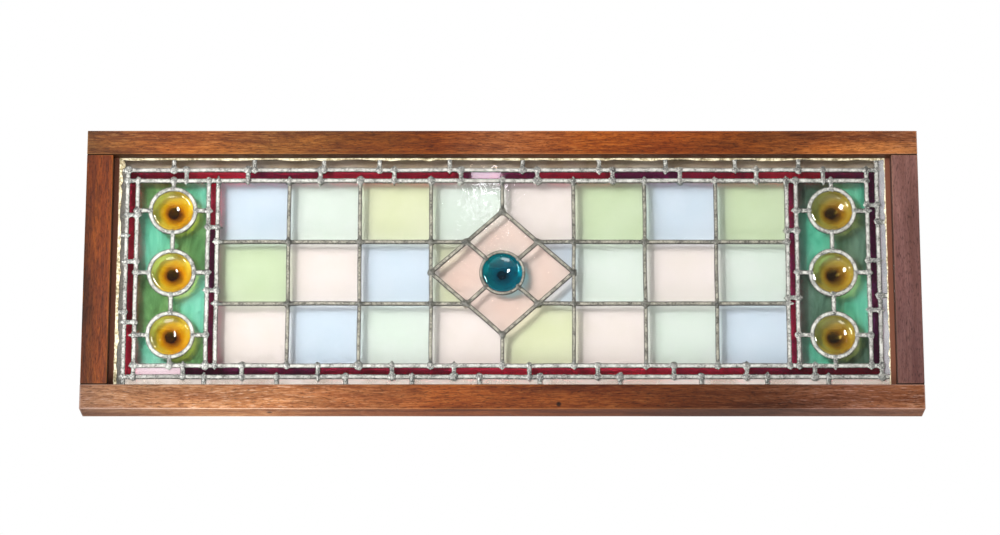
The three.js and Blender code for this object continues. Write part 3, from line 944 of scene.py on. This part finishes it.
# Solder: a flat puddle on each face of every joint, with a tongue run out along each lead.
# Both are one half bead, modelled once. Their sizes are in mm, and luck adds to each.
PUDDLE_RADIUS, PUDDLE_HEIGHT = 5.2, 0.9
TONGUE_LENGTH, TONGUE_HEIGHT, TONGUE_WIDTH = 7.6, 0.7, 2.9
SUNK = 0.25 * MM  # how far the flat of a bead lies below the face of the lead
deselect()
bpy.ops.mesh.primitive_uv_sphere_add(segments=12, ring_count=8, radius=1)
bead = settle("solder_bead")
bpy.ops.object.mode_set(mode="EDIT")
bpy.ops.mesh.select_all(action="SELECT")
bpy.ops.mesh.bisect(plane_co=(0, 0, -0.05), plane_no=(0, 0, 1), clear_inner=True, use_fill=True)
bpy.ops.mesh.select_all(action="SELECT")
bpy.ops.transform.rotate(value=math.pi / 2, orient_axis="X", center_override=(0, 0, 0))
bpy.ops.object.mode_set(mode="OBJECT")
crown_y = 1 if max(vertex.co.y for vertex in bead.data.vertices) > 0.5 else -1
beads = []


def drop_solder(x, z, face_y, turn, size, angle):
    drop = copy_of("solder", bead.data)
    place = Matrix.Translation((x, face_y, z + panel_z)) @ Matrix.Rotation(angle, 4, "Y")
    scale = Matrix.Diagonal((size[0], size[1] * turn * crown_y, size[2], 1))
    drop.data.transform(place @ scale)
    if turn * crown_y < 0:
        drop.data.flip_normals()
    for vertex in drop.data.vertices:
        spot = vertex.co * 300
        vertex.co.x += 1.3 * MM * noise.noise(spot)
        vertex.co.z += 1.3 * MM * noise.noise(spot + Vector((0, 50, 0)))
        if abs(vertex.co.y - face_y) > 0.2 * MM:
            vertex.co.y += 0.25 * MM * noise.noise(spot * 2)
    beads.append(drop)


for (x, z), ways in meetings.items():
    in_field = abs(x) < field_x - MM and abs(z) < field_z - MM
    to_rings = [math.hypot(abs(x) - side_x, z - ring_z) - ROUNDEL_RING for ring_z in roundel_zs]
    to_rings.append(math.hypot(x, z) - JEWEL_RING)
    on_ring = min(abs(gap) for gap in to_rings) < MM
    scale = 0.65 if on_ring else 0.9 if in_field else 1
    for face_y, turn in ((lead_low.y + SUNK, -1), (lead_high.y - SUNK, 1)):
        luck = [noise.noise(Vector((x * 91, turn * 3, z * 77 + k * 13))) for k in range(4)]
        radius = (PUDDLE_RADIUS + 1.8 * luck[0]) * MM * scale
        height = (PUDDLE_HEIGHT + 0.4 * luck[1]) * MM
        size = (radius, height, radius * (1 + 0.3 * luck[2]))
        drop_solder(x, z, face_y, turn, size, luck[3] * 3)
        for k, way in enumerate(ways):
            more = noise.noise(Vector((x * 60 + k * 5, turn, z * 60)))
            reach = (TONGUE_LENGTH + 3.5 * more) * MM * scale
            size = (reach, (TONGUE_HEIGHT + 0.3 * more) * MM, TONGUE_WIDTH * MM * scale)
            start = Vector((x, z)) + way * 1.5 * MM
            drop_solder(start.x, start.y, face_y, turn, size, -math.atan2(way.y, way.x))
bpy.data.objects.remove(bead)

# Soft lead is never straight: it wanders by up to 0.7 mm in the plane of the panel.
lead = join(cames, "leadwork")
for vertex in lead.data.vertices:
    where = Vector((vertex.co.x * 16, 0, vertex.co.z * 16))
    vertex.co.x += 0.7 * MM * noise.noise(where)
    vertex.co.z += 0.7 * MM * noise.noise(where + Vector((0, 9, 0)))
    vertex.co.y += 0.15 * MM * noise.noise(where * 2 + Vector((0, 20, 0)))
solder = join(beads, "solder")

PATCHES = 1.1  # how much the broad patches count beside the fine skin


# Weathered lead gives the eye a dull grey skin with white bloom, darker and browner where it
# is handled less. Solder is the same grey, a little darker, and smoother on its crowns.
def weathered_lead(name, dark, pale, bloom, rough):
    material, tree = new_material(name)
    place = add_node(tree, "TexCoord", output="Object")
    # The skin mottles over 3 mm, the white bloom over 1.6 mm and broad patches over 12 mm.
    skin = add_node(tree, "TexNoise", {"Vector": place, "Scale": 300, "Detail": 5}, "Fac")
    white = add_node(tree, "TexNoise", {"Vector": place, "Scale": 640, "Detail": 3}, "Fac")
    patches = add_node(tree, "TexNoise", {"Vector": place, "Scale": 85, "Detail": 2}, "Fac")
    mottle = add_node(tree, "Math", {0: patches, 1: PATCHES, 2: skin}, operation="MULTIPLY_ADD")
    mottle = add_node(tree, "Math", {0: mottle, 1: 1 / (1 + PATCHES)}, operation="MULTIPLY")
    colour = add_node(tree, "ValToRGB", {"Fac": mottle}, stops=[(0.39, dark), (0.6, pale)])
    # The field's lead is darker than the border's: how far a point stands inside the field.
    x, _, z = add_node(tree, "SeparateXYZ", {"Vector": place}).node.outputs
    z = add_node(tree, "Math", {0: z, 1: panel_z}, operation="SUBTRACT")
    insides = []
    for distance, limit in ((x, field_x), (z, field_z)):
        distance = add_node(tree, "Math", {0: distance}, operation="ABSOLUTE")
        fade = {"Value": distance, "From Min": limit - 9 * MM, "From Max": limit}
        insides.append(add_node(tree, "MapRange", {**fade, "To Min": 1, "To Max": 0}))
    field = add_node(tree, "Math", {0: insides[0], 1: insides[1]}, operation="MULTIPLY")
    pair = {SHARE: field, UNDER: colour, OVER: "c2beb2"}
    colour = add_node(tree, "Mix", pair, MIXED, data_type="RGBA", blend_type="MULTIPLY")
    # Black cement and dirt along the edges of each leaf, with painted shade where the leaf meets
    # the glass.
    cement_and_edge_shade = add_node(tree, "Attribute", output="Fac", attribute_name="came_edge")
    cement_and_edge_shade = add_node(tree, "Math", {0: skin, 1: 0.9, 2: cement_and_edge_shade}, operation="MULTIPLY_ADD")
    colour, _ = lay_over(tree, colour, "1c1b18", cement_and_edge_shade, 0.95, 1.25, 0.95)
    less = {0: field, 1: -bloom * 0.75, 2: bloom}
    cover = add_node(tree, "Math", less, operation="MULTIPLY_ADD")
    colour, _ = lay_over(tree, colour, "c4c2b9", white, 0.48, 0.66, cover)
    bumps = {"Strength": 0.5, "Distance": 0.3 * MM, "Height": skin}
    normal = add_node(tree, "Bump", bumps)
    finish = {"Base Color": colour, "Roughness": rough, "Normal": normal, "Metallic": 0.3}
    surface = add_node(tree, "BsdfPrincipled", finish)
    add_node(tree, "OutputMaterial", {"Surface": surface})
    return material


lead.data.materials.append(weathered_lead("weathered_lead", "565550", "b4b3ac", 0.5, 0.6))
solder.data.materials.append(weathered_lead("tarnished_solder", "343533", "72736f", 0.6, 0.42))
leadwork = join([lead, solder], "leadwork")
smooth(leadwork, 50)
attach(leadwork, "root")
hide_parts("lead_cames")


# ---- Putty ----
# Linseed putty that beds the panel against the wooden lip and is struck off in a slope behind
# it. It has squeezed out, cracked and been patched along the sight edges in front.

putty_low, putty_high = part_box("glazing_putty")
lip_y = front_y + LIP
UNDER_LIP = 2 * MM  # how far the front bead runs on behind the sash's lip
FILLET = 10 * MM  # width of the slope behind
PUTTY_SIDES = [
    # side, axis, which way is out, least and most that the front bead stands in, in mm
    ("left", Z, -1, 8.5, 13),
    ("right", Z, 1, 7, 9.5),
    ("top", X, 1, 0.6, 3.2),
    ("bottom", X, -1, 0.4, 2.4),
]


def strike_bead(name, along, low, high, shape):
    """A long bar of putty, divided along its length, whose points a function then shapes."""
    bar = add_block(name, low, high)
    divide(bar, along, int((high - low)[along] / (3.5 * MM)))
    divide(bar, Z if along == X else X, 3)
    for vertex in bar.data.vertices:
        shape(vertex)
    return bar


beads = []
for side, along, turn, least, most in PUTTY_SIDES:
    across = Z if along == X else X
    if along == Z:
        edge = turn * sight_x
        ends = (sight_low - UNDER_LIP, sight_high + UNDER_LIP)
    else:
        edge = sight_high if turn > 0 else sight_low
        ends = (-sight_x - UNDER_LIP, sight_x + UNDER_LIP)
    low, high = Vector((0, lip_y, 0)), Vector((0, lead_low.y + 0.9 * MM, 0))
    low[along], high[along] = ends
    low[across], high[across] = sorted((edge + turn * UNDER_LIP, edge - turn * 1 * MM))

    def squeeze(vertex):
        """The three rows nearest the glass reach in by chance, and fall towards the lead."""
        run = vertex.co[along]
        wide = noise.noise(Vector((run * 22, turn * 7, along * 5)))
        fine = noise.noise(Vector((run * 110, turn * 11, along * 3)))
        reach = (least + (most - least) * max(0, min(1, 0.45 + 0.8 * wide + 0.7 * fine))) * MM
        share = (edge + turn * UNDER_LIP - vertex.co[across]) * turn / (3 * MM)
        if share > 0.34:
            inward = (share - 1 / 3) * 1.5
            vertex.co[across] = edge - turn * reach * inward
            if vertex.co.y < lead_low.y:
                fall = (lead_low.y - 0.3 * MM - lip_y) * max(0, inward) ** 1.6
                vertex.co.y = lip_y + 0.1 * MM + fall + 0.25 * MM * fine

    beads.append(strike_bead("putty_bead", along, low, high, squeeze))

for side, along, turn, _, _ in PUTTY_SIDES:
    across = Z if along == X else X
    wall = putty_high.z if turn > 0 else putty_low.z
    wall = turn * putty_high.x if along == Z else wall
    low, high = Vector((0, lead_high.y + 0.2 * MM, 0)), Vector((0, putty_high.y, 0))
    low[along], high[along] = putty_low[along], putty_high[along]
    low[across], high[across] = sorted((wall, wall - turn * FILLET))

    def strike(vertex):
        """The back slopes from the rebate's wall down to the lead."""
        share = (wall - vertex.co[across]) * turn / FILLET
        wave = noise.noise(Vector((vertex.co[along] * 60, turn, along)))
        if vertex.co.y > lead_high.y + 1 * MM:
            rise = (putty_high.y - lead_high.y) * max(0, 1 - share) ** 1.1
            vertex.co.y = lead_high.y + 0.3 * MM + max(0.2 * MM, rise - 0.8 * MM + 0.6 * MM * wave)

    beads.append(strike_bead("putty_fillet", along, low, high, strike))

# The lump where the top left corner was patched.
deselect()
bpy.ops.mesh.primitive_ico_sphere_add(
    subdivisions=4,
    radius=1,
    location=(-sight_x + 10 * MM, lip_y + 1.4 * MM, sight_high - 9 * MM),
    scale=(5 * MM, 2.2 * MM, 8 * MM),
)
lump = settle("putty_lump")
for vertex in lump.data.vertices:
    vertex.co.x += 1.6 * MM * noise.noise(vertex.co * 180)
    vertex.co.z += 1.6 * MM * noise.noise(vertex.co * 180 + Vector((0, 30, 0)))
beads.append(lump)
putty = join(beads, "putty")
smooth(putty, 60)

# Old linseed putty gives the eye a chalky cream, crumbled every 3 mm and stained grey in its
# cracks over 17 mm.
material, tree = new_material("linseed_putty")
place = add_node(tree, "TexCoord", output="Object")
crumb = add_node(tree, "TexNoise", {"Vector": place, "Scale": 350, "Detail": 5}, "Fac")
stain = add_node(tree, "TexNoise", {"Vector": place, "Scale": 60, "Detail": 4}, "Fac")
mixed = add_node(tree, "Mix", {0: 0.5, 2: stain, 3: crumb}, data_type="FLOAT")
creams = [(0.36, "5e543f"), (0.46, "9c906f"), (0.55, "d6ccae")]
colour = add_node(tree, "ValToRGB", {"Fac": mixed}, stops=creams)
# Painted shade: the outer part of the bead at the sides is painted dark brown, for the shaded
# reveal of the sash.
x, y, _ = add_node(tree, "SeparateXYZ", {"Vector": place}).node.outputs
out_x = add_node(tree, "Math", {0: x}, operation="ABSOLUTE")
out_x = add_node(tree, "Math", {0: stain, 1: 3 * MM, 2: out_x}, operation="MULTIPLY_ADD")
outer = {"Value": out_x, "From Min": sight_x - 5.6 * MM, "From Max": sight_x - 4.8 * MM}
outer = add_node(tree, "MapRange", outer)
in_front = {"Value": y, "From Min": lead_high.y, "From Max": lead_low.y}
in_front = add_node(tree, "MapRange", in_front)
painted_reveal_shade = add_node(tree, "Math", {0: outer, 1: in_front}, operation="MULTIPLY")
pair = {SHARE: painted_reveal_shade, UNDER: colour, OVER: "562c17"}
colour = add_node(tree, "Mix", pair, MIXED, data_type="RGBA")
normal = add_node(tree, "Bump", {"Strength": 0.8, "Distance": 0.5 * MM, "Height": crumb})
finish = {"Base Color": colour, "Roughness": 0.88, "Normal": normal}
surface = add_node(tree, "BsdfPrincipled", finish)
add_node(tree, "OutputMaterial", {"Surface": surface})
putty.data.materials.append(material)
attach(putty, "root")
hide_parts("glazing_putty")


# ---- Room: wall, floor, light and camera ----
# The window hangs just clear of a pale wall that shows only through its glass, over a pale
# floor, in soft light from the upper left.

WALL_GAP = 1 * MM
WALL_WIDTH, WALL_HEIGHT = 1.16, 0.39  # a little less than the sash, which hides its edges
WALL_MIDDLE = 0.204  # half the height of the sash
FLOOR_Z = -1.9


def plain_material(name, colour):
    material, tree = new_material(name)
    surface = add_node(tree, "BsdfDiffuse", {"Color": colour})
    add_node(tree, "OutputMaterial", {"Surface": surface})
    return material


deselect()
bpy.ops.mesh.primitive_plane_add(size=1, location=(0, back_y + WALL_GAP, WALL_MIDDLE))
bpy.context.object.rotation_euler = (math.pi / 2, 0, 0)
bpy.context.object.scale = (WALL_WIDTH, WALL_HEIGHT, 1)
wall = settle("wall_card")
wall.data.materials.append(plain_material("wall_paint", "8f8f8f"))
for ray in ("camera", "diffuse", "glossy", "shadow"):
    setattr(wall, "visible_" + ray, False)

deselect()
bpy.ops.mesh.primitive_plane_add(size=30, location=(0, 0, FLOOR_Z))
floor = settle("floor")
floor.data.materials.append(plain_material("floor_paint", "f2f2f2"))

# A white room to look at, a dimmer one to be lit by, and a darker one to be mirrored.
world = bpy.data.worlds.new("studio")
world.use_nodes = True
tree = world.node_tree
tree.nodes.clear()
seen, shed, dim = [
    add_node(tree, "Background", {"Color": (1, 1, 1, 1), "Strength": strength})
    for strength in (1.0, 0.66, 0.22)
]
mirrored = add_node(tree, "LightPath", output="Is Glossy Ray")
shed = add_node(tree, "MixShader", {0: mirrored, 1: shed, 2: dim})
sight = add_node(tree, "LightPath", output="Is Camera Ray")
both = add_node(tree, "MixShader", {0: sight, 1: shed, 2: seen})
add_node(tree, "OutputWorld", {"Surface": both})
bpy.context.scene.world = world

CAMERA_DISTANCE = 5.2
BELOW = math.radians(16)  # the camera looks up at the window from below
aim = Vector((-0.0032, front_y, 0.2051))  # within 4 mm of the middle of the sash's front
deselect()
bpy.ops.object.camera_add()
camera = bpy.context.object
camera.data.sensor_width = 36
camera.data.lens = 132.9
camera.data.clip_end = 100
away = Vector((0, -math.cos(BELOW), -math.sin(BELOW)))
camera.location = aim + away * CAMERA_DISTANCE
camera.rotation_euler = (-away).to_track_quat("-Z", "Y").to_euler()
bpy.context.scene.camera = camera


def hang_lamp(name, spot, way, distance, energy, shape, width, height):
    """A flat lamp so far from a spot, turned to face it."""
    deselect()
    bpy.ops.object.light_add(type="AREA", location=spot + way * distance)
    lamp = keep_name(bpy.context.object, name)
    lamp.data.energy = energy
    lamp.data.shape = shape
    lamp.data.size = width
    lamp.data.size_y = height
    lamp.rotation_euler = (-way).to_track_quat("-Z", "Y").to_euler()
    return lamp


key_way = Vector((-0.45, -1, 0.13)).normalized()
key = hang_lamp(
    "key_light", aim, key_way, distance=5.0, energy=280, shape="ELLIPSE", width=0.5, height=1.1
)
key.visible_transmission = False
# Light thrown back up by the pale floor.
low_way = Vector((-0.25, -0.75, -1)).normalized()
bounce = hang_lamp(
    "floor_bounce", aim, low_way, distance=1.9, energy=48, shape="DISK", width=1.6, height=1.6
)
bounce.visible_transmission = False

# Two small lamps, mirrored as a glare in the right half of the fourth pane and, more strongly,
# in the ruby strip above it.
GLARE_X = -22 * MM
GLARE_DISTANCE = 0.8
strip_z = panel_z + (field_z + outer_z) / 2
for name, spot_z, width, height, energy in (
    # the spot's height, then the lamp's width, height and energy
    ("pane_glare_lamp", 0.321, 0.055, 0.08, 0.016),
    ("strip_glare_lamp", strip_z, 0.042, 0.02, 0.038),
):
    spot = Vector((GLARE_X, front_y + LIP, spot_z))
    ray = spot - camera.location
    ray.y = -ray.y
    ray.normalize()
    glare = hang_lamp(name, spot, ray, GLARE_DISTANCE, energy, "RECTANGLE", width, height)
    glare.data.color = (0.93, 0.92, 1.0)  # cool daylight
    glare.visible_camera = False
bpy.context.scene.view_settings.view_transform = "Standard"
